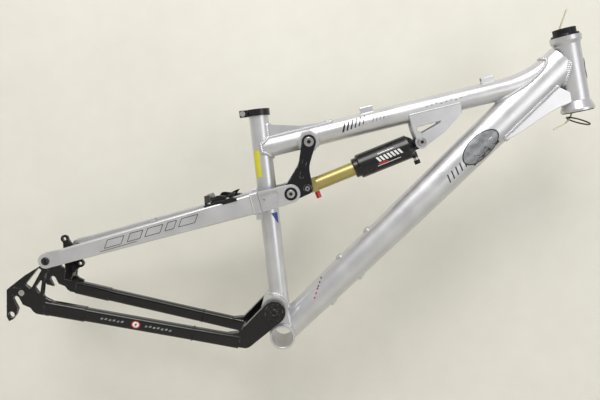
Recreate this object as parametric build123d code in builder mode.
from build123d import *
import os
from math import atan2, cos, degrees, hypot, radians, sin, tan

# Full-suspension mountain bicycle frame.
# Millimetres. X forward, Y to the rider's left, Z up. Origin: bottom bracket centre.
# "Right" is the drive side, at -Y. Points in the middle plane are (x, z) pairs.

# ---- driving dimensions: bottom bracket and main pivot
bb_width = 73
bb_od = 41
bb_bore = 34
main_pivot = (-20.5, 42.5)
housing_od = 44
housing_width = 75
main_axle_d = 15
main_bearing_od = 28
main_bearing_width = 8

# ---- driving dimensions: front triangle
seat_angle = 74.6
seat_tube_length = 375
seat_tube_od = 31.8
seat_tube_bore = 27.3
seat_ream_depth = 280
seat_foot_bore = 26
top_tube_station = 310.7
top_tube_angle = 22.9
top_tube_od = 34.9
top_tube_reach = 453.7
top_tube_bend = 170
tube_wall = 1.8
down_tube_angle = 53.3
down_tube_heights = (46, 54, 58)
down_tube_widths = (50, 46, 42)
down_tube_stations = (8, 300, 640)
down_tube_shifts = (1, 1.5, 5)
head_angle = 68.5
head_foot = (419, 443)
head_tube_length = 121
head_tube_od = 42
head_tube_bore = 34
head_flare_top = 49
head_flare_foot = 53
gusset_width = 31
seat_gusset_width = 20
gusset_wall = 2.5
bottle_boss_stations = ((157, 1), (221, 1), (96, -1), (160, -1))
bottle_thread = 5
cable_guide_stations = (171, 373)
collar_height = 11
collar_lug = 25
cup_bore = 30
ring_r = 18.5

# ---- driving dimensions: rocker, shock and their pivots
rocker_station = 76.8
rocker_drop = 7.5
rocker_boss_width = 41
rocker_axle_d = 12
rocker_thickness = 7
link_reach = (-15, -86.5)
shock_reach = (10, -75)
eye_to_eye = 200
shock_angle = 31.2
shock_bolt_d = 8
waist_r = 8.4
waist_sweep = 40
can_d = 40
shaft_d = 23
eyelet_d = 20
eyelet_width = 22
bracket_thickness = 5
can_start = 21
can_end = 109
collar_end = 117
shaft_end = 183
knob_station = 187.5
link_play = 5.3
eye_play = 2.7

# ---- driving dimensions: rear triangle
axle = (-423, 6.5)
axle_slot = 10.2
dropout_spacing = 135
dropout_thickness = 7
rear_pivot_rise = (39.5, 68.5)
rear_pivot_d = 10
chainstay_width = 16
chainstay_height = 21
elbow_thickness = 12
seatstay_width = 16
seatstay_height_rear = 23.5
seatstay_height_front = 32.5
yoke_thickness = 12
clevis_cheek = 4.1
seam = 0.78
socket_end = 0.19
elbow_head = 18.7
ear_r = 10.5
slot_lean = -55
slot_run = 30
tongue_depth = 3
link_ear = 15
foot_start = 256
foot_end = 309
foot_side = 38

# ---- clearances and edge breaks
edge_break = 0.8
running = 0.05
side_gap = 0.5
pivot_gap = 0.4

# ---- derived lateral stations, as distances from the middle plane
boss_face = rocker_boss_width / 2
rocker_face = boss_face + side_gap
rocker_back = rocker_face + rocker_thickness
yoke_face = rocker_back + side_gap
yoke_back = yoke_face + yoke_thickness
elbow_face = housing_width / 2 + 1
elbow_back = elbow_face + elbow_thickness
dropout_face = dropout_spacing / 2
dropout_back = dropout_face + dropout_thickness
clevis_face = dropout_face - pivot_gap - clevis_cheek
clevis_back = dropout_back + pivot_gap + clevis_cheek


def along(start, angle, distance, lift=0):
    """Middle-plane point a distance along a line, then lifted square to it."""
    a = radians(angle)
    return (start[0] + distance * cos(a) - lift * sin(a), start[1] + distance * sin(a) + lift * cos(a))


def shift(point, dx, dz):
    """Middle-plane point moved by dx and dz."""
    return (point[0] + dx, point[1] + dz)


def bearing(start, end):
    """Angle of the line from start to end, in degrees."""
    return degrees(atan2(end[1] - start[1], end[0] - start[0]))


def span(start, end):
    """Distance between two middle-plane points."""
    return hypot(end[0] - start[0], end[1] - start[1])


def station(point, angle, side=0):
    """Plane square to a member: local x to the left, local y up, normal along it."""
    a = radians(angle)
    return Plane(origin=(point[0], side, point[1]), x_dir=(0, 1, 0), z_dir=(cos(a), 0, sin(a)))


def flank(distance):
    """Side-view plane at a distance to the right; extrusions run further right."""
    return Plane.XZ.offset(distance)


def lathe(point, angle, side=0):
    """Side-view plane whose local y runs along a line in the middle plane, for turned parts."""
    a = radians(angle)
    return Plane(origin=(point[0], side, point[1]), x_dir=(sin(a), 0, -cos(a)), z_dir=(0, -1, 0))


def line_axis(point, angle):
    """Axis through a middle-plane point at an angle."""
    a = radians(angle)
    return Axis((point[0], 0, point[1]), (cos(a), 0, sin(a)))


def tube_height(distance):
    """Half height of the down tube and its lift, at a distance from the bottom bracket."""
    stops = list(zip(down_tube_stations, down_tube_heights, down_tube_shifts))
    low, high = (stops[0], stops[1]) if distance < stops[1][0] else (stops[1], stops[2])
    t = (distance - low[0]) / (high[0] - low[0])
    return (low[1] + t * (high[1] - low[1])) / 2, low[2] + t * (high[2] - low[2])


def flat_sides(piece):
    """The outermost flat faces of a plate that stands in side view."""
    return piece.faces().filter_by(Plane.XZ).sort_by(Axis.Y)[::len(piece.faces().filter_by(Plane.XZ)) - 1]


def boss_plane(distance, way, sink):
    """Plane square to the down tube's face at a bottle boss, sunk below the face; way is 1 above, -1 below."""
    half, rise = tube_height(distance)
    foot = along(origin, down_tube_angle, distance, rise + way * (half - sink))
    return station(foot, down_tube_angle + 90 * way)


origin = (0, 0)
seat_lean = 180 - seat_angle
lean = 180 - head_angle
seat_joint = along(origin, seat_lean, top_tube_station)
rocker_pivot = along(seat_joint, top_tube_angle, rocker_station, -rocker_drop)
link_pivot = shift(rocker_pivot, *link_reach)
eye_pivot = shift(rocker_pivot, *shock_reach)
shock_top = along(eye_pivot, shock_angle, eye_to_eye)
rear_pivot = shift(axle, *rear_pivot_rise)
head_top = along(head_foot, lean, head_tube_length)
stay_angle = bearing(rear_pivot, link_pivot)
stay_length = span(rear_pivot, link_pivot)

# ---- outer skins of the main members, used to cope the tubes where they meet
with BuildPart() as down_tube_skin:
    for s, tall, wide, lift in zip(down_tube_stations, down_tube_heights, down_tube_widths, down_tube_shifts):
        with BuildSketch(station(along(origin, down_tube_angle, s, lift), down_tube_angle)):
            Ellipse(wide / 2, tall / 2)
    loft(ruled=True)

with BuildPart() as head_tube_skin:
    with BuildSketch(lathe(head_foot, lean)):
        with BuildLine():
            Polyline((0, 0), (head_flare_foot / 2, 0), (head_flare_foot / 2, 4), (head_tube_od / 2, 17),
                     (head_tube_od / 2, head_tube_length - 13), (head_flare_top / 2, head_tube_length - 7),
                     (head_flare_top / 2, head_tube_length), (0, head_tube_length), (0, 0))
        make_face()
    revolve(axis=line_axis(head_foot, lean))

with BuildPart() as housing_skin:
    with BuildSketch(flank(-housing_width / 2)):
        with Locations(main_pivot):
            Circle(housing_od / 2)
    extrude(amount=housing_width)
    with BuildSketch(flank(-30)):
        with Locations(main_pivot):
            Circle(housing_od / 2 - 3)
        Circle(bb_od / 2 - 4)
        make_hull()
    extrude(amount=60)

with BuildPart() as seat_tube_skin:
    with BuildSketch(station(origin, seat_lean)):
        Circle(seat_tube_od / 2)
    extrude(amount=seat_tube_length)

# the top tube runs straight, then bends up to lie along the down tube near the head
bend_turn = down_tube_angle - top_tube_angle
bend_corner = along(seat_joint, top_tube_angle, top_tube_reach)
bend_run = top_tube_bend * tan(radians(bend_turn) / 2)
bend_start = along(bend_corner, top_tube_angle, -bend_run)
bend_end = along(bend_corner, down_tube_angle, bend_run)
bend_middle = along(bend_corner, (top_tube_angle + down_tube_angle) / 2 + 90,
                    top_tube_bend / cos(radians(bend_turn) / 2) - top_tube_bend)


def top_tube_line():
    """Centre line of the top tube, from the seat tube to the head."""
    Line((seat_joint[0], 0, seat_joint[1]), (bend_start[0], 0, bend_start[1]))
    ThreePointArc((bend_start[0], 0, bend_start[1]), (bend_middle[0], 0, bend_middle[1]),
                  (bend_end[0], 0, bend_end[1]))


with BuildPart() as top_tube_skin:
    with BuildLine():
        top_tube_line()
    with BuildSketch(station(seat_joint, top_tube_angle)):
        Circle(top_tube_od / 2)
    sweep()

with BuildPart() as boss_skin:
    with BuildSketch(flank(-boss_face)):
        with Locations(rocker_pivot):
            RegularPolygon(17.5, 8, rotation=top_tube_angle + 22.5)
    extrude(amount=rocker_boss_width)

# ---- front triangle
with BuildPart() as bottom_bracket_shell:
    with BuildSketch(flank(-bb_width / 2)):
        Circle(bb_od / 2)
        Circle(bb_bore / 2, mode=Mode.SUBTRACT)
    extrude(amount=bb_width)
    chamfer(bottom_bracket_shell.edges().filter_by(GeomType.CIRCLE), 0.6)

with BuildPart() as main_pivot_forging:
    add(housing_skin.part)
    with BuildSketch(flank(-housing_width / 2)):
        Circle(bb_od / 2)
    extrude(amount=housing_width, mode=Mode.SUBTRACT)
    with BuildSketch(flank(-housing_width / 2)):
        with Locations(main_pivot):
            Circle(main_bearing_od / 2 - 2)
    extrude(amount=housing_width, mode=Mode.SUBTRACT)
    for side in (-housing_width / 2, housing_width / 2 - main_bearing_width):
        with BuildSketch(flank(side)):
            with Locations(main_pivot):
                Circle(main_bearing_od / 2)
        extrude(amount=main_bearing_width, mode=Mode.SUBTRACT)

with BuildPart() as main_pivot_bearings:
    for side in (-housing_width / 2, housing_width / 2 - main_bearing_width):
        with BuildSketch(flank(side)):
            with Locations(main_pivot):
                Circle(main_bearing_od / 2)
                Circle(main_axle_d / 2 + running, mode=Mode.SUBTRACT)
        extrude(amount=main_bearing_width)

with BuildPart() as down_tube:
    add(down_tube_skin.part)
    for s, tall, wide, lift in zip(down_tube_stations, down_tube_heights, down_tube_widths, down_tube_shifts):
        with BuildSketch(station(along(origin, down_tube_angle, s, lift), down_tube_angle)):
            Ellipse(wide / 2 - tube_wall, tall / 2 - tube_wall)
    loft(ruled=True, mode=Mode.SUBTRACT)
    with BuildSketch(flank(-bb_width / 2)):
        Circle(bb_od / 2)
    extrude(amount=bb_width, mode=Mode.SUBTRACT)
    add(housing_skin.part, mode=Mode.SUBTRACT)
    add(head_tube_skin.part, mode=Mode.SUBTRACT)
    for distance, way in bottle_boss_stations:
        with BuildSketch(boss_plane(distance, way, 3 * tube_wall)):
            Circle(bottle_thread / 2)
        extrude(amount=4 * tube_wall, mode=Mode.SUBTRACT)

with BuildPart() as seat_tube:
    with BuildSketch(station(along(origin, seat_lean, 40), seat_lean)):
        Circle(seat_tube_od / 2)
        Circle(seat_foot_bore / 2, mode=Mode.SUBTRACT)
    extrude(amount=seat_tube_length - 40)
    # The post's bore is reamed from the top and stops on a step, clear of the pivot forging.
    with BuildSketch(station(along(origin, seat_lean, seat_tube_length - seat_ream_depth), seat_lean)):
        Circle(seat_tube_bore / 2)
    extrude(amount=seat_ream_depth, mode=Mode.SUBTRACT)
    add(housing_skin.part, mode=Mode.SUBTRACT)
    add(down_tube_skin.part, mode=Mode.SUBTRACT)

with BuildPart() as top_tube:
    add(top_tube_skin.part)
    with BuildLine():
        top_tube_line()
    with BuildSketch(station(seat_joint, top_tube_angle)):
        Circle(top_tube_od / 2 - tube_wall)
    sweep(mode=Mode.SUBTRACT)
    add(seat_tube_skin.part, mode=Mode.SUBTRACT)
    add(down_tube_skin.part, mode=Mode.SUBTRACT)
    add(head_tube_skin.part, mode=Mode.SUBTRACT)
    add(boss_skin.part, mode=Mode.SUBTRACT)

with BuildPart() as head_tube:
    add(head_tube_skin.part)
    with BuildSketch(station(head_foot, lean)):
        Circle(head_tube_bore / 2)
    extrude(amount=head_tube_length, mode=Mode.SUBTRACT)

with BuildPart() as head_gusset:
    with BuildSketch(flank(-gusset_width / 2)):
        with BuildLine():
            Spline(along(origin, down_tube_angle, 486, -22), along(origin, down_tube_angle, 512, -29),
                   along(origin, down_tube_angle, 554, -36), along(head_foot, lean, 15, 18))
            Polyline(along(head_foot, lean, 15, 18), along(head_foot, lean, 22, 0),
                     along(origin, down_tube_angle, 600, -8), along(origin, down_tube_angle, 486, -8),
                     along(origin, down_tube_angle, 486, -22))
        make_face()
    extrude(amount=gusset_width)
    for face in flat_sides(head_gusset):
        chamfer(face.edges(), edge_break)
    with BuildSketch(flank(-gusset_width / 2 + gusset_wall)):
        with BuildLine():
            Polyline(along(origin, down_tube_angle, 486, -8), along(origin, down_tube_angle, 512, -29 + gusset_wall),
                     along(origin, down_tube_angle, 534, -33 + gusset_wall),
                     along(origin, down_tube_angle, 554, -36 + gusset_wall),
                     along(head_foot, lean, 15 + gusset_wall, 18), along(head_foot, lean, 25, 0),
                     along(origin, down_tube_angle, 600, 5), close=True)
        make_face()
    extrude(amount=gusset_width - 2 * gusset_wall, mode=Mode.SUBTRACT)
    add(down_tube_skin.part, mode=Mode.SUBTRACT)
    add(head_tube_skin.part, mode=Mode.SUBTRACT)

with BuildPart() as seat_gusset:
    with BuildSketch(flank(-seat_gusset_width / 2)):
        with BuildLine():
            Polyline(along(seat_joint, top_tube_angle, 4, 38), along(seat_joint, top_tube_angle, 16, 36.5),
                     along(seat_joint, top_tube_angle, 69, 21.5), along(seat_joint, top_tube_angle, 121, 16.5),
                     along(seat_joint, top_tube_angle, 110, 8), along(seat_joint, top_tube_angle, 0, 8),
                     along(seat_joint, top_tube_angle, 4, 38))
        make_face()
    extrude(amount=seat_gusset_width)
    for face in flat_sides(seat_gusset):
        chamfer(face.edges(), edge_break)
    with BuildSketch(flank(-seat_gusset_width / 2 + gusset_wall)):
        with BuildLine():
            Polyline(along(seat_joint, top_tube_angle, 8, 37 - gusset_wall),
                     along(seat_joint, top_tube_angle, 15.5, 36.2 - gusset_wall),
                     along(seat_joint, top_tube_angle, 68.5, 21 - gusset_wall),
                     along(seat_joint, top_tube_angle, 90, 8), along(seat_joint, top_tube_angle, 0, 5), close=True)
        make_face()
    extrude(amount=seat_gusset_width - 2 * gusset_wall, mode=Mode.SUBTRACT)
    add(seat_tube_skin.part, mode=Mode.SUBTRACT)
    add(top_tube_skin.part, mode=Mode.SUBTRACT)
    add(boss_skin.part, mode=Mode.SUBTRACT)

with BuildPart() as rocker_boss:
    add(boss_skin.part)
    with BuildSketch(flank(-boss_face)):
        with Locations(rocker_pivot):
            Circle(rocker_axle_d / 2 + 2)
    extrude(amount=rocker_boss_width, mode=Mode.SUBTRACT)
    for side in (-boss_face, boss_face - 7):
        with BuildSketch(flank(side)):
            with Locations(rocker_pivot):
                Circle(rocker_axle_d / 2 + 5)
        extrude(amount=7, mode=Mode.SUBTRACT)

with BuildPart() as rocker_bearings:
    for side in (-boss_face, boss_face - 7):
        with BuildSketch(flank(side)):
            with Locations(rocker_pivot):
                Circle(rocker_axle_d / 2 + 5)
                Circle(rocker_axle_d / 2 + running, mode=Mode.SUBTRACT)
        extrude(amount=7)

bracket_face = eyelet_width / 2 + 1

with BuildPart() as shock_bracket_right:
    with BuildSketch(flank(bracket_face)):
        with BuildLine():
            Polyline(along(shock_top, top_tube_angle, -11, 50), along(shock_top, top_tube_angle, -9.5, 22),
                     shift(shock_top, -9.5, 4), shift(shock_top, 6, -8), along(shock_top, top_tube_angle, 41, 8),
                     along(shock_top, top_tube_angle, 73, 30), along(shock_top, top_tube_angle, 76, 50),
                     along(shock_top, top_tube_angle, -11, 50))
        make_face()
        with Locations(shock_top):
            Circle(10.5)
        with BuildLine(mode=Mode.PRIVATE) as window:
            Polyline(along(shock_top, top_tube_angle, -3, 20), along(shock_top, top_tube_angle, 4, 14),
                     along(shock_top, top_tube_angle, 35, 23), along(shock_top, top_tube_angle, 37, 26),
                     along(shock_top, top_tube_angle, -2, 25), along(shock_top, top_tube_angle, -3, 20))
        make_face(window.edges(), mode=Mode.SUBTRACT)
        with Locations(shock_top):
            Circle(shock_bolt_d / 2, mode=Mode.SUBTRACT)
    extrude(amount=bracket_thickness)
    add(top_tube_skin.part, mode=Mode.SUBTRACT)
    for face in flat_sides(shock_bracket_right):
        chamfer(face.edges(), edge_break)

with BuildPart() as shock_bracket_left:
    mirror(shock_bracket_right.part, about=Plane.XZ)

bracket_back = bracket_face + bracket_thickness

with BuildPart() as shock_bolt_upper:
    with BuildSketch(flank(-bracket_back)):
        with Locations(shock_top):
            Circle(shock_bolt_d / 2)
    extrude(amount=2 * bracket_back)
    for side in (-bracket_back - 4, bracket_back):
        with BuildSketch(flank(side)):
            with Locations(shock_top):
                Circle(7)
        extrude(amount=4)
    with BuildSketch(flank(bracket_back + 4)):
        with Locations(shock_top):
            RegularPolygon(2.9, 6)
    extrude(amount=-3, mode=Mode.SUBTRACT)


with BuildPart() as bottle_bosses:
    for distance, way in bottle_boss_stations:
        with BuildSketch(boss_plane(distance, way, 1.5)):
            Circle(6)
            Circle(bottle_thread / 2, mode=Mode.SUBTRACT)
        extrude(amount=4)
    add(down_tube_skin.part, mode=Mode.SUBTRACT)

with BuildPart() as cable_guides:
    for s in cable_guide_stations:
        foot = along(seat_joint, top_tube_angle, s, top_tube_od / 2 - 1.5)
        with BuildSketch(station(foot, top_tube_angle)):
            with Locations((0, 5)):
                RectangleRounded(11, 11, 2)
        extrude(amount=20)
        with BuildSketch(station(foot, top_tube_angle)):
            with Locations((0, 7)):
                Circle(2.6)
        extrude(amount=20, mode=Mode.SUBTRACT)
    add(top_tube_skin.part, mode=Mode.SUBTRACT)
    add(down_tube_skin.part, mode=Mode.SUBTRACT)

# ---- seat collar
collar_foot = along(origin, seat_lean, seat_tube_length - collar_height)

with BuildPart() as seat_collar:
    with BuildSketch(station(collar_foot, seat_lean)):
        Circle(seat_tube_od / 2 + 3)
        with Locations((0, collar_lug - 4)):
            RectangleRounded(17, 19, 2)
        Circle(seat_tube_od / 2, mode=Mode.SUBTRACT)
        with Locations((0, collar_lug - 1)):
            Rectangle(2, 20, mode=Mode.SUBTRACT)
    extrude(amount=collar_height)
    with BuildSketch(flank(-12)):
        with Locations(along(collar_foot, seat_lean, collar_height / 2, collar_lug)):
            Circle(2.5)
    extrude(amount=24, mode=Mode.SUBTRACT)

with BuildPart() as seat_collar_bolt:
    with BuildSketch(flank(-8.5)):
        with Locations(along(collar_foot, seat_lean, collar_height / 2, collar_lug)):
            Circle(2.5)
    extrude(amount=17)
    with BuildSketch(flank(8.5)):
        with Locations(along(collar_foot, seat_lean, collar_height / 2, collar_lug)):
            Circle(4.4)
    extrude(amount=3.5)
    with BuildSketch(flank(12)):
        with Locations(along(collar_foot, seat_lean, collar_height / 2, collar_lug)):
            RegularPolygon(2.3, 6)
    extrude(amount=-2.5, mode=Mode.SUBTRACT)

# ---- headset parts left in the head tube, with the spare race tied to them
with BuildPart() as headset_cup_upper:
    with BuildSketch(lathe(head_top, lean)):
        with BuildLine():
            Polyline((cup_bore / 2, 4), (cup_bore / 2, -12), (head_tube_bore / 2, -12), (head_tube_bore / 2, 0),
                     (22.5, 0), (21.5, 4), (cup_bore / 2, 4))
        make_face()
    revolve(axis=line_axis(head_top, lean))

with BuildPart() as headset_plug:
    with BuildSketch(station(along(head_top, lean, 4), lean)):
        RegularPolygon(18, 28)
        Circle(cup_bore / 2, mode=Mode.SUBTRACT)
    extrude(amount=9)
    chamfer(headset_plug.faces().sort_by(Axis.Z)[-1].outer_wire().edges(), 0.8)

with BuildPart() as headset_cup_lower:
    with BuildSketch(lathe(head_foot, lean)):
        with BuildLine():
            Polyline((cup_bore / 2, -1.6), (cup_bore / 2, 12), (head_tube_bore / 2, 12), (head_tube_bore / 2, 0),
                     (25, 0), (24.4, -1.6), (cup_bore / 2, -1.6))
        make_face()
    revolve(axis=line_axis(head_foot, lean))

tie_top = along(head_top, lean, 9, 10.3)
tie_foot = along(head_foot, lean, -4, 10.3)

with BuildPart() as cable_tie:
    with BuildLine():
        FilletPolyline((tie_top[0] + 6, 0, tie_top[1] + 38), (tie_top[0], 0, tie_top[1]),
                       (tie_foot[0], 0, tie_foot[1]), (tie_foot[0] - 6, 0, tie_foot[1] - 15),
                       (tie_foot[0] - 25, 0, tie_foot[1] - 29), radius=(40, 17, 22))
    with BuildSketch(Plane(origin=(tie_top[0] + 6, 0, tie_top[1] + 38), x_dir=(0, 1, 0), z_dir=(-6, 0, -38))):
        Rectangle(4.8, 1.3)
    sweep()

ring_centre = (tie_foot[0] + 12, tie_foot[1] - 9)

with BuildPart() as spare_race:
    with BuildSketch(Plane(origin=(ring_centre[0] + ring_r * cos(radians(9)), 0,
                                   ring_centre[1] - ring_r * sin(radians(9))),
                           x_dir=(cos(radians(9)), 0, -sin(radians(9))), z_dir=(0, -1, 0))):
        RectangleRounded(2.6, 2.2, 0.8)
    revolve(axis=Axis((ring_centre[0], 0, ring_centre[1]), (sin(radians(9)), 0, cos(radians(9)))))

with BuildPart() as head_badge:
    with BuildSketch(Plane(origin=along(head_foot, lean, 65, -head_tube_od / 2 - 3)[:1] + (0,)
                           + along(head_foot, lean, 65, -head_tube_od / 2 - 3)[1:], x_dir=(0, 1, 0),
                           z_dir=(-sin(radians(lean)), 0, cos(radians(lean))))):
        Ellipse(13, 18)
    extrude(amount=14)
    with BuildSketch(station(head_foot, lean)):
        Circle(head_tube_od / 2)
    extrude(amount=head_tube_length, mode=Mode.SUBTRACT)
    with BuildSketch(station(head_foot, lean)):
        Circle(head_tube_od / 2 + 1)
    extrude(amount=head_tube_length, mode=Mode.INTERSECT)

# ---- chainstay assembly: right side first, then its mirror image
stay_rear = shift(axle, 51, -7.5)
stay_front = shift(main_pivot, -59.5, -57)
stay_lean = bearing(stay_rear, stay_front)
stay_run = span(stay_rear, stay_front)
side_rear = dropout_face - 0.5
side_front = elbow_face + elbow_thickness / 2 + 0.5
elbow_corner = shift(main_pivot, -39.5, -50.5)


def stay_section(t):
    """Plane square to the chainstay in side view, at a share of its length, with its lateral place."""
    point = along(stay_rear, stay_lean, t * stay_run)
    return station(point, stay_lean, -(side_rear + t * (side_front - side_rear)))


with BuildPart() as chainstay_tube_right:
    for t in (socket_end, seam):
        with BuildSketch(stay_section(t)):
            RectangleRounded(chainstay_width, chainstay_height, 5)
    loft()
    for t in (socket_end, seam):
        with BuildSketch(stay_section(t)):
            RectangleRounded(chainstay_width - 2 * tube_wall, chainstay_height - 2 * tube_wall, 3.2)
    loft(mode=Mode.SUBTRACT)

with BuildPart() as chainstay_tube_left:
    mirror(chainstay_tube_right.part, about=Plane.XZ)

with BuildPart() as chainstay_elbow_right:
    for t in (seam, 1.04):
        with BuildSketch(stay_section(t)):
            RectangleRounded(chainstay_width, chainstay_height + (1 if t > 1 else 0), 5)
    loft()
    with BuildSketch(flank(elbow_face)):
        with Locations(main_pivot):
            Circle(elbow_head)
        with Locations(elbow_corner):
            Circle(15)
        make_hull()
    extrude(amount=elbow_thickness)
    with BuildSketch(flank(elbow_face)):
        with Locations(shift(elbow_corner, -3, -2)):
            Circle(13)
        with Locations(shift(elbow_corner, -24, -5)):
            Circle(10.5)
        make_hull()
    extrude(amount=elbow_thickness)
    with BuildSketch(flank(elbow_face)):
        with Locations(main_pivot):
            Circle(main_axle_d / 2)
    extrude(amount=elbow_thickness, mode=Mode.SUBTRACT)
    with BuildSketch(flank(elbow_back - 5)):
        with Locations(main_pivot):
            Circle(main_bearing_od / 2 + 0.3)
    extrude(amount=5, mode=Mode.SUBTRACT)

with BuildPart() as chainstay_elbow_left:
    mirror(chainstay_elbow_right.part, about=Plane.XZ)

with BuildPart() as chainstay_bridge:
    with BuildSketch(flank(-elbow_face)):
        with Locations(shift(elbow_corner, -4, -1)):
            Circle(8)
            Circle(6, mode=Mode.SUBTRACT)
    extrude(amount=2 * elbow_face)
    add(chainstay_elbow_right.part, mode=Mode.SUBTRACT)
    add(chainstay_elbow_left.part, mode=Mode.SUBTRACT)

with BuildPart() as main_pivot_axle:
    with BuildSketch(flank(-elbow_back + 5)):
        with Locations(main_pivot):
            Circle(main_axle_d / 2)
            Circle(main_axle_d / 2 - 3, mode=Mode.SUBTRACT)
    extrude(amount=2 * elbow_back - 10)

with BuildPart() as main_pivot_caps:
    for way in (-1, 1):
        with BuildSketch(flank(way * (elbow_back - 5))):
            with Locations(main_pivot):
                Circle(main_bearing_od / 2)
        extrude(amount=way * 4.2)
        with BuildSketch(flank(way * (elbow_back - 0.8))):
            with Locations(main_pivot):
                Circle(9.5)
        extrude(amount=-way * 1.6, mode=Mode.SUBTRACT)
        with BuildSketch(flank(way * (elbow_back - 0.8))):
            with Locations(main_pivot):
                RegularPolygon(4.6, 6)
        extrude(amount=-way * 3.4, mode=Mode.SUBTRACT)

# ---- dropouts
def from_axle(*points):
    """Points given from the wheel axle's centre, in the middle plane."""
    return [shift(axle, dx, dz) for dx, dz in points]


plate_outline = from_axle((32.5, 60.5), (9, 40.5), (-12, 18.5), (-17, 12.5), (-16, -4), (-10, -12), (2, -13.5),
                          (11, -7.5), (23, -10.5), (28.5, -16), (33.5, -18.5), (53, -19), (55, 6.5),
                          (45, 9.5), (41, 12.5), (40.2, 45.5), (47, 60.5))
plate_windows = [from_axle((28, 55), (33, 52.5), (20.5, 20.5), (10.5, 25.5)),
                 from_axle((36, 40.5), (35.5, 13.5), (26.5, 23))]
slot_end = along(axle, slot_lean, slot_run)

with BuildPart() as dropout_left:
    with BuildSketch(flank(-dropout_back)):
        with BuildLine():
            Polyline(*plate_outline, close=True)
        make_face()
        with Locations(rear_pivot):
            Circle(ear_r)
    extrude(amount=dropout_thickness)
    for points in plate_windows:
        with BuildSketch(flank(-dropout_back)) as window_face:
            with BuildLine():
                Polyline(*points, close=True)
            make_face()
            fillet(window_face.vertices(), 1.5)
        extrude(amount=dropout_thickness, mode=Mode.SUBTRACT)
    for face in flat_sides(dropout_left):
        chamfer(face.edges(), edge_break)
    with BuildSketch(flank(-dropout_back)):
        with Locations(axle):
            Circle(axle_slot / 2)
        with Locations(slot_end):
            Circle(axle_slot / 2)
        make_hull()
    extrude(amount=dropout_thickness, mode=Mode.SUBTRACT)
    for t in (-0.02, socket_end):
        point = along(stay_rear, stay_lean, t * stay_run)
        with BuildSketch(station(point, stay_lean, side_rear + t * (side_front - side_rear))):
            RectangleRounded(chainstay_width + 1.6, chainstay_height + 2, 5)
    loft()
    with BuildSketch(flank(-dropout_back)):
        with Locations(rear_pivot):
            Circle(rear_pivot_d / 2 + running)
    extrude(amount=dropout_thickness, mode=Mode.SUBTRACT)

hanger_outline = from_axle((-17, 12.5), (-12, -30.5), (-7.5, -37), (-2, -33.5), (2.5, -25), (5.5, -9),
                           (-3.5, 0), (-6, 6), (-8, 13), (-14, 16))
tongue_outline = from_axle((-15, 8), (-5, 6), (5, 4.5), (13, 8), (14, 15), (7, 18.5), (-5, 18), (-14, 13.5))
hanger_bolt_place = shift(axle, 7.5, 12)
hanger_hole = shift(axle, -4.7, -26)

with BuildPart() as derailleur_hanger:
    with BuildSketch(flank(dropout_face)):
        with BuildLine():
            Polyline(*hanger_outline, close=True)
        make_face()
        with Locations(hanger_hole):
            Circle(5, mode=Mode.SUBTRACT)
    extrude(amount=dropout_thickness)
    for face in flat_sides(derailleur_hanger):
        chamfer(face.outer_wire().edges(), edge_break / 2)
    with BuildSketch(flank(dropout_back - tongue_depth)):
        with BuildLine():
            Polyline(*tongue_outline, close=True)
        make_face()
    extrude(amount=tongue_depth)
    with BuildSketch(flank(dropout_face)):
        with Locations(axle):
            Circle(axle_slot / 2)
        with Locations(slot_end):
            Circle(axle_slot / 2)
        make_hull()
    extrude(amount=dropout_thickness, mode=Mode.SUBTRACT)
    with BuildSketch(flank(dropout_face)):
        with Locations(hanger_bolt_place):
            Circle(2.5)
    extrude(amount=dropout_thickness, mode=Mode.SUBTRACT)

with BuildPart() as dropout_right:
    mirror(dropout_left.part, about=Plane.XZ)
    with BuildSketch(flank(dropout_face)):
        with BuildLine():
            Polyline(*from_axle((-30, 20), (-14, 16), (-8, 13), (-6, 6), (-3.5, 0), (7, -18), (-30, -18)), close=True)
        make_face()
    extrude(amount=dropout_thickness, mode=Mode.SUBTRACT)
    with BuildSketch(flank(dropout_back - tongue_depth)):
        with BuildLine():
            Polyline(*tongue_outline, close=True)
        make_face()
    extrude(amount=tongue_depth, mode=Mode.SUBTRACT)
    with BuildSketch(flank(dropout_face)):
        with Locations(hanger_bolt_place):
            Circle(2.5)
    extrude(amount=dropout_thickness, mode=Mode.SUBTRACT)

with BuildPart() as hanger_bolt:
    with BuildSketch(flank(dropout_face)):
        with Locations(hanger_bolt_place):
            Circle(2.5)
    extrude(amount=dropout_thickness)
    with BuildSketch(flank(dropout_back)):
        with Locations(hanger_bolt_place):
            Circle(4.6)
    extrude(amount=2)
    with BuildSketch(flank(dropout_back + 2)):
        with Locations(hanger_bolt_place):
            RegularPolygon(2, 6)
    extrude(amount=-2, mode=Mode.SUBTRACT)

disc_face = dropout_face - 18
disc_eyes = (shift(axle, 18, 79.5), shift(axle, 51, 40.5))

with BuildPart() as disc_mount:
    with BuildSketch(flank(-disc_face - 6)):
        with Locations(*disc_eyes):
            Circle(7)
        with BuildLine():
            Polyline(shift(disc_eyes[0], -3, -4), shift(disc_eyes[0], 6, 2), shift(disc_eyes[1], 5, 4),
                     shift(disc_eyes[1], 0, -7), shift(axle, 40, 20), shift(axle, 40, 7), shift(axle, 26, 7),
                     shift(axle, 26, 24), close=True)
        make_face()
        with Locations(*disc_eyes):
            Circle(3, mode=Mode.SUBTRACT)
    extrude(amount=6)
    for face in flat_sides(disc_mount):
        chamfer(face.outer_wire().edges(), edge_break)
    with BuildSketch(flank(-dropout_face)):
        with Locations(shift(axle, 33, 14)):
            Rectangle(14, 14)
    extrude(amount=dropout_face - disc_face - 6)

# ---- seatstay assembly
tube_start = 28
tube_end = stay_length - 64
rear_side = (clevis_face + clevis_back) / 2
front_side = yoke_face + yoke_thickness / 2 + 2.5


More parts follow.
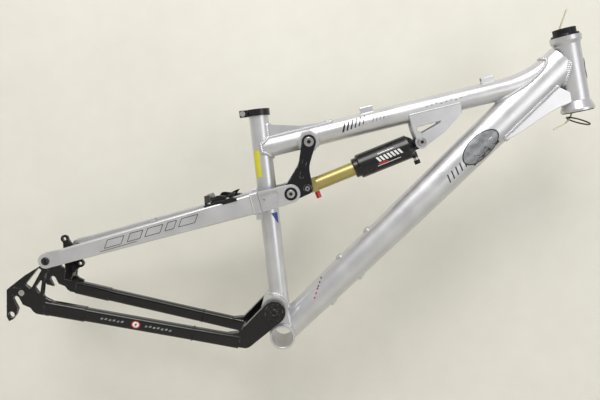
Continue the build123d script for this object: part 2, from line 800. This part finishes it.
def seatstay_section(distance):
    """Plane square to the seatstay in side view, on the right, at a distance from the rear pivot."""
    t = (distance - tube_start) / (tube_end - tube_start)
    point = along(rear_pivot, stay_angle, distance)
    return station(point, stay_angle, -(rear_side + t * (front_side - rear_side)))


def seatstay_height(distance):
    """Height of the seatstay at a distance from the rear pivot."""
    t = (distance - tube_start) / (tube_end - tube_start)
    return seatstay_height_rear + t * (seatstay_height_front - seatstay_height_rear)


with BuildPart() as seatstay_skin:
    for s in (tube_start, tube_end):
        with BuildSketch(seatstay_section(s)):
            RectangleRounded(seatstay_width, seatstay_height(s), 3)
    loft()

with BuildPart() as seatstay_right:
    add(seatstay_skin.part)
    for s in (tube_start, tube_end):
        with BuildSketch(seatstay_section(s)):
            RectangleRounded(seatstay_width - 2 * tube_wall, seatstay_height(s) - 2 * tube_wall, 1.5)
    loft(mode=Mode.SUBTRACT)

with BuildPart() as seatstay_left:
    mirror(seatstay_right.part, about=Plane.XZ)

with BuildPart() as seatstay_clevis_right:
    with BuildSketch(flank(clevis_face)):
        with Locations(rear_pivot):
            Circle(12)
        with BuildLine():
            Polyline(along(rear_pivot, stay_angle, 3, 11.6), along(rear_pivot, stay_angle, tube_start, 11.7),
                     along(rear_pivot, stay_angle, tube_start, -11.7), along(rear_pivot, stay_angle, 3, -11.6),
                     close=True)
        make_face()
    extrude(amount=clevis_back - clevis_face)
    for face in flat_sides(seatstay_clevis_right):
        chamfer(face.edges(), edge_break)
    with BuildSketch(flank(dropout_face - pivot_gap)):
        with BuildLine():
            Polyline(along(rear_pivot, stay_angle, -20, 20), along(rear_pivot, stay_angle, 14, 20),
                     along(rear_pivot, stay_angle, 14, -20), along(rear_pivot, stay_angle, -20, -20), close=True)
        make_face()
    extrude(amount=dropout_thickness + 2 * pivot_gap, mode=Mode.SUBTRACT)
    with BuildSketch(flank(clevis_back)):
        with BuildLine():
            Polyline(along(rear_pivot, stay_angle, 11.5, 20), along(rear_pivot, stay_angle, 22, 20),
                     along(rear_pivot, stay_angle, 22, -20), along(rear_pivot, stay_angle, 13.5, -20), close=True)
        make_face()
    extrude(amount=-1.5, mode=Mode.SUBTRACT)
    with BuildSketch(flank(clevis_face)):
        with Locations(rear_pivot):
            Circle(rear_pivot_d / 2)
    extrude(amount=clevis_back - clevis_face, mode=Mode.SUBTRACT)

with BuildPart() as seatstay_clevis_left:
    mirror(seatstay_clevis_right.part, about=Plane.XZ)

with BuildPart() as rear_pivot_bolts:
    for way in (-1, 1):
        with BuildSketch(flank(way * clevis_face)):
            with Locations(rear_pivot):
                Circle(rear_pivot_d / 2)
        extrude(amount=way * (clevis_back - clevis_face))
        with BuildSketch(flank(way * clevis_back)):
            with Locations(rear_pivot):
                Circle(6.2)
        extrude(amount=way * 1.4)
        with BuildSketch(flank(way * (clevis_back + 1.4))):
            with Locations(rear_pivot):
                RegularPolygon(2.9, 6)
        extrude(amount=-way * 3, mode=Mode.SUBTRACT)

with BuildPart() as seatstay_yoke_right:
    with BuildSketch(flank(yoke_face)):
        with Locations(link_pivot):
            Circle(link_ear)
        with BuildLine():
            Polyline(along(link_pivot, stay_angle, -2, 14.8), along(link_pivot, stay_angle, -52, 16.6),
                     along(link_pivot, stay_angle, -52, -16.6), along(link_pivot, stay_angle, -12, -15.6),
                     along(link_pivot, stay_angle, 6, -13.6), close=True)
        make_face()
    extrude(amount=yoke_thickness)
    for face in flat_sides(seatstay_yoke_right):
        chamfer(face.edges(), edge_break)
    with BuildSketch(station(along(link_pivot, stay_angle, -64), stay_angle, -front_side)):
        RectangleRounded(seatstay_width + 2, seatstay_height_front + 2.5, 3)
    extrude(amount=12)
    with BuildSketch(flank(yoke_back)):
        with BuildLine():
            Polyline(along(link_pivot, stay_angle, -48, 11.5), along(link_pivot, stay_angle, -21, 11.5),
                     along(link_pivot, stay_angle, -19, 6), along(link_pivot, stay_angle, -24, -10.5),
                     along(link_pivot, stay_angle, -48, -11.5), close=True)
        make_face()
    extrude(amount=-3, mode=Mode.SUBTRACT)
    with BuildSketch(flank(yoke_back - 3)):
        with Locations(along(link_pivot, stay_angle, -44, 2)):
            Circle(1.4)
    extrude(amount=-5, mode=Mode.SUBTRACT)
    with BuildSketch(flank(yoke_face)):
        with Locations(link_pivot):
            Circle(shock_bolt_d / 2)
    extrude(amount=yoke_thickness, mode=Mode.SUBTRACT)
    with BuildSketch(flank(yoke_face + 2)):
        with Locations(along(link_pivot, stay_angle, -58, -20)):
            RectangleRounded(9, 16, 2, rotation=stay_angle - 20)
    extrude(amount=7)

with BuildPart() as seatstay_yoke_left:
    mirror(seatstay_yoke_right.part, about=Plane.XZ)

def stay_top(distance, lift=0):
    """Point above the seatstay's top face, in the middle plane."""
    return along(rear_pivot, stay_angle, distance, seatstay_height(distance) / 2 + lift)


with BuildPart() as seatstay_bridge:
    for way in (-1, 1):
        with BuildSketch(flank(way * (foot_side - 2))):
            with BuildLine():
                Polyline(stay_top(foot_start, -4), stay_top(foot_start, 3), stay_top(foot_end - 6, 3.2),
                         stay_top(foot_end, 0.6), stay_top(foot_end, -4), close=True)
            make_face()
        extrude(amount=way * 14)
        with BuildSketch(flank(way * (foot_side - 4))):
            with BuildLine():
                Polyline(stay_top(foot_start, -4), stay_top(foot_start, 3), stay_top(foot_start + 13, 6),
                         stay_top(foot_start + 21, 12), stay_top(foot_start + 26, 11.5),
                         stay_top(foot_start + 36, 7.5), stay_top(foot_end - 7, 9.5), stay_top(foot_end, 9.5),
                         stay_top(foot_end - 9, 2), stay_top(foot_end - 9, -4), close=True)
            make_face()
        extrude(amount=way * 4)
    with BuildSketch(station(stay_top(foot_start), stay_angle)):
        with BuildLine():
            Polyline((-foot_side, -3), (-foot_side, 5), (-24, 16), (24, 16), (foot_side, 5), (foot_side, -3),
                     (22, 9), (-22, 9), close=True)
        make_face()
    extrude(amount=9)
    add(seatstay_skin.part, mode=Mode.SUBTRACT)
    mirror(seatstay_skin.part, about=Plane.XZ, mode=Mode.SUBTRACT)

with BuildPart() as bridge_screws:
    for way in (-1, 1):
        for s in (foot_start + 9, foot_end - 14):
            spot = stay_top(s, 3.3)
            with BuildSketch(Plane(origin=(spot[0], way * 46, spot[1]), x_dir=(0, 1, 0),
                                   z_dir=(-sin(radians(stay_angle)), 0, cos(radians(stay_angle))))):
                Circle(3)
                RegularPolygon(1.6, 6, mode=Mode.SUBTRACT)
            extrude(amount=1.8)

with BuildPart() as stay_clips:
    for s, side in ((170, 55), (tube_end + 5, 38)):
        with BuildSketch(station(stay_top(s, 3.4), stay_angle, -side)):
            RectangleRounded(8, 7, 1.5)
            Circle(2.1, mode=Mode.SUBTRACT)
        extrude(amount=8)
    add(seatstay_skin.part, mode=Mode.SUBTRACT)
    add(seatstay_yoke_right.part, mode=Mode.SUBTRACT)

with BuildPart() as link_bolts:
    for way in (-1, 1):
        with BuildSketch(flank(way * rocker_face)):
            with Locations(link_pivot):
                Circle(shock_bolt_d / 2)
        extrude(amount=way * (yoke_back - rocker_face))
        with BuildSketch(flank(way * yoke_back)):
            with Locations(link_pivot):
                Circle(6.6)
        extrude(amount=way * 2.2)
        with BuildSketch(flank(way * (yoke_back + 2.2))):
            with Locations(link_pivot):
                RegularPolygon(3, 6)
        extrude(amount=-way * 3, mode=Mode.SUBTRACT)

with BuildPart() as link_seals:
    for way in (-1, 1):
        with BuildSketch(flank(way * yoke_back)):
            with Locations(link_pivot):
                Circle(10.4)
                Circle(6.6, mode=Mode.SUBTRACT)
        extrude(amount=way * 1.2)

# ---- rocker: two plates on one axle
waist = shift(rocker_pivot, -2, -41)
link_bore = shock_bolt_d / 2 + link_play

with BuildPart() as rocker_right:
    with BuildSketch(flank(rocker_face)) as rocker_outline:
        with Locations(rocker_pivot):
            Circle(11.6)
        with Locations(waist):
            Circle(waist_r)
        make_hull()
        with BuildSketch(flank(rocker_face), mode=Mode.PRIVATE) as foot:
            with Locations(waist):
                Circle(waist_r)
            with Locations(link_pivot):
                Circle(13.2)
            with Locations(eye_pivot):
                Circle(9)
            make_hull()
        add(foot.sketch)
        hollows = rocker_outline.vertices().filter_by_position(Axis.Y, waist[1] - 9, waist[1] + 9)
        fillet(hollows, waist_sweep)
    extrude(amount=rocker_thickness)
    chamfer(rocker_right.faces().sort_by(Axis.Y)[0].edges(), edge_break)
    with BuildSketch(flank(rocker_back)):
        with Locations(eye_pivot):
            Circle(6.6)
    extrude(amount=1.6)
    with BuildSketch(flank(eyelet_width / 2 + pivot_gap)):
        with Locations(eye_pivot):
            Circle(7)
    extrude(amount=rocker_face - eyelet_width / 2 - pivot_gap)
    with BuildSketch(flank(eyelet_width / 2)):
        with Locations(rocker_pivot):
            Circle(rocker_axle_d / 2)
        with Locations(link_pivot):
            Circle(link_bore)
        with Locations(eye_pivot):
            Circle(shock_bolt_d / 2)
    extrude(amount=rocker_back - eyelet_width / 2 + 2, mode=Mode.SUBTRACT)
    with BuildSketch(flank(rocker_back)):
        with Locations(shift(rocker_pivot, -2, -43)):
            SlotOverall(34, 6, rotation=88)
    extrude(amount=-1.2, mode=Mode.SUBTRACT)

with BuildPart() as rocker_left:
    mirror(rocker_right.part, about=Plane.XZ)

with BuildPart() as rocker_axle:
    with BuildSketch(flank(-rocker_back)):
        with Locations(rocker_pivot):
            Circle(rocker_axle_d / 2)
    extrude(amount=2 * rocker_back)
    for way in (-1, 1):
        with BuildSketch(flank(way * rocker_back)):
            with Locations(rocker_pivot):
                Circle(7.8)
        extrude(amount=way * 2.4)
        with BuildSketch(flank(way * (rocker_back + 2.4))):
            with Locations(rocker_pivot):
                RegularPolygon(3.4, 6)
        extrude(amount=-way * 3, mode=Mode.SUBTRACT)

with BuildPart() as shock_bolt_lower:
    with BuildSketch(flank(-rocker_back - 1.6)):
        with Locations(eye_pivot):
            Circle(shock_bolt_d / 2)
    extrude(amount=2 * rocker_back + 3.2)

# ---- air shock, laid out by distance from the upper eye
shock_lean = shock_angle + 180

with BuildPart() as shock_head:
    with BuildSketch(lathe(shock_top, shock_lean)):
        with BuildLine():
            Polyline((0, 10), (9, 10), (13, 13), (can_d / 2, can_start), (can_d / 2, can_start + 2),
                     (0, can_start + 2), (0, 10))
        make_face()
    revolve(axis=line_axis(shock_top, shock_lean))
    with BuildSketch(flank(-eyelet_width / 2)):
        with Locations(shock_top):
            Circle(9.6)
        with BuildLine():
            Polyline(along(shock_top, shock_lean, 0, 9), along(shock_top, shock_lean, 14, 9),
                     along(shock_top, shock_lean, 14, -9), along(shock_top, shock_lean, 0, -9), close=True)
        make_face()
    extrude(amount=eyelet_width)
    with BuildSketch(flank(-eyelet_width / 2)):
        with Locations(shock_top):
            Circle(shock_bolt_d / 2 + running)
    extrude(amount=eyelet_width, mode=Mode.SUBTRACT)
    with BuildSketch(station(along(shock_top, shock_lean, 15.5, 12), shock_lean + 90)):
        Circle(4.6)
    extrude(amount=9)
    with BuildSketch(station(along(shock_top, shock_lean, 15.5, 12), shock_lean + 90)):
        Circle(2.5)
    extrude(amount=9, mode=Mode.SUBTRACT)

with BuildPart() as air_valve:
    with BuildSketch(station(along(shock_top, shock_lean, 15.5, 12), shock_lean + 90)):
        Circle(2.5)
    extrude(amount=9)
    with BuildSketch(station(along(shock_top, shock_lean, 15.5, 21), shock_lean + 90)):
        Circle(4)
    extrude(amount=4.5)

with BuildPart() as valve_cap:
    with BuildSketch(station(along(shock_top, shock_lean, 15.5, 25.5), shock_lean + 90)):
        RegularPolygon(5, 12)
    extrude(amount=6.5)

with BuildPart() as air_can:
    with BuildSketch(lathe(shock_top, shock_lean)):
        with BuildLine():
            Polyline((0, can_start + 2), (can_d / 2, can_start + 2), (can_d / 2, can_end - 2),
                     (can_d / 2 - 2, can_end), (shaft_d / 2 + 1, can_end), (shaft_d / 2 + 1, can_end - 6),
                     (can_d / 2 - 3, can_end - 6), (can_d / 2 - 3, can_start + 6), (0, can_start + 6),
                     (0, can_start + 2))
        make_face()
    revolve(axis=line_axis(shock_top, shock_lean))

with BuildPart() as wiper_collar:
    with BuildSketch(lathe(shock_top, shock_lean)):
        with BuildLine():
            Polyline((shaft_d / 2 + running, can_end), (16.2, can_end), (16.2, collar_end - 1.5),
                     (14.8, collar_end), (shaft_d / 2 + running, collar_end), (shaft_d / 2 + running, can_end))
        make_face()
    revolve(axis=line_axis(shock_top, shock_lean))

with BuildPart() as shock_shaft:
    with BuildSketch(station(along(shock_top, shock_lean, can_end - 14), shock_lean)):
        Circle(shaft_d / 2)
        Circle(shaft_d / 2 - 3.5, mode=Mode.SUBTRACT)
    extrude(amount=shaft_end - can_end + 14)

eye_bore = shock_bolt_d / 2 + eye_play

with BuildPart() as shaft_eyelet:
    with BuildSketch(flank(-eyelet_width / 2)):
        with Locations(eye_pivot):
            Circle(eyelet_d / 2)
        with BuildLine():
            Polyline(along(shock_top, shock_lean, eye_to_eye, 9.6), along(shock_top, shock_lean, shaft_end, 11.8),
                     along(shock_top, shock_lean, shaft_end, -11.8), along(shock_top, shock_lean, eye_to_eye, -9.6),
                     close=True)
        make_face()
    extrude(amount=eyelet_width)
    with BuildSketch(flank(-eyelet_width / 2)):
        with Locations(eye_pivot):
            Circle(eye_bore)
    extrude(amount=eyelet_width, mode=Mode.SUBTRACT)
    with BuildSketch(station(along(shock_top, shock_lean, knob_station, 8), shock_lean + 90)):
        Circle(1.8 + running)
    extrude(amount=6, mode=Mode.SUBTRACT)

with BuildPart() as rebound_knob:
    with BuildSketch(station(along(shock_top, shock_lean, knob_station, 8.2), shock_lean + 90)):
        Circle(1.8)
    extrude(amount=5)
    with BuildSketch(station(along(shock_top, shock_lean, knob_station, 12.4), shock_lean + 90)):
        RegularPolygon(4.4, 10)
    extrude(amount=11)
    chamfer(rebound_knob.faces().sort_by(Axis.Z)[0].edges(), 0.8)

# ---- write one STEP file for each piece
pieces = {
    "bottom_bracket_shell": bottom_bracket_shell,
    "main_pivot_forging": main_pivot_forging,
    "main_pivot_bearings": main_pivot_bearings,
    "down_tube": down_tube,
    "seat_tube": seat_tube,
    "top_tube": top_tube,
    "head_tube": head_tube,
    "head_gusset": head_gusset,
    "seat_gusset": seat_gusset,
    "rocker_boss": rocker_boss,
    "rocker_bearings": rocker_bearings,
    "shock_bracket_right": shock_bracket_right,
    "shock_bracket_left": shock_bracket_left,
    "shock_bolt_upper": shock_bolt_upper,
    "bottle_bosses": bottle_bosses,
    "cable_guides": cable_guides,
    "seat_collar": seat_collar,
    "seat_collar_bolt": seat_collar_bolt,
    "headset_cup_upper": headset_cup_upper,
    "headset_plug": headset_plug,
    "headset_cup_lower": headset_cup_lower,
    "cable_tie": cable_tie,
    "spare_race": spare_race,
    "head_badge": head_badge,
    "chainstay_tube_right": chainstay_tube_right,
    "chainstay_tube_left": chainstay_tube_left,
    "chainstay_elbow_right": chainstay_elbow_right,
    "chainstay_elbow_left": chainstay_elbow_left,
    "chainstay_bridge": chainstay_bridge,
    "main_pivot_axle": main_pivot_axle,
    "main_pivot_caps": main_pivot_caps,
    "dropout_right": dropout_right,
    "dropout_left": dropout_left,
    "derailleur_hanger": derailleur_hanger,
    "hanger_bolt": hanger_bolt,
    "disc_mount": disc_mount,
    "seatstay_right": seatstay_right,
    "seatstay_left": seatstay_left,
    "seatstay_clevis_right": seatstay_clevis_right,
    "seatstay_clevis_left": seatstay_clevis_left,
    "rear_pivot_bolts": rear_pivot_bolts,
    "seatstay_yoke_right": seatstay_yoke_right,
    "seatstay_yoke_left": seatstay_yoke_left,
    "seatstay_bridge": seatstay_bridge,
    "bridge_screws": bridge_screws,
    "stay_clips": stay_clips,
    "link_bolts": link_bolts,
    "link_seals": link_seals,
    "rocker_right": rocker_right,
    "rocker_left": rocker_left,
    "rocker_axle": rocker_axle,
    "shock_bolt_lower": shock_bolt_lower,
    "shock_head": shock_head,
    "air_valve": air_valve,
    "valve_cap": valve_cap,
    "air_can": air_can,
    "wiper_collar": wiper_collar,
    "shock_shaft": shock_shaft,
    "shaft_eyelet": shaft_eyelet,
    "rebound_knob": rebound_knob,
}

os.makedirs("parts", exist_ok=True)
for name, piece in pieces.items():
    piece.part.label = name
    export_step(piece.part, f"parts/{name}.step")
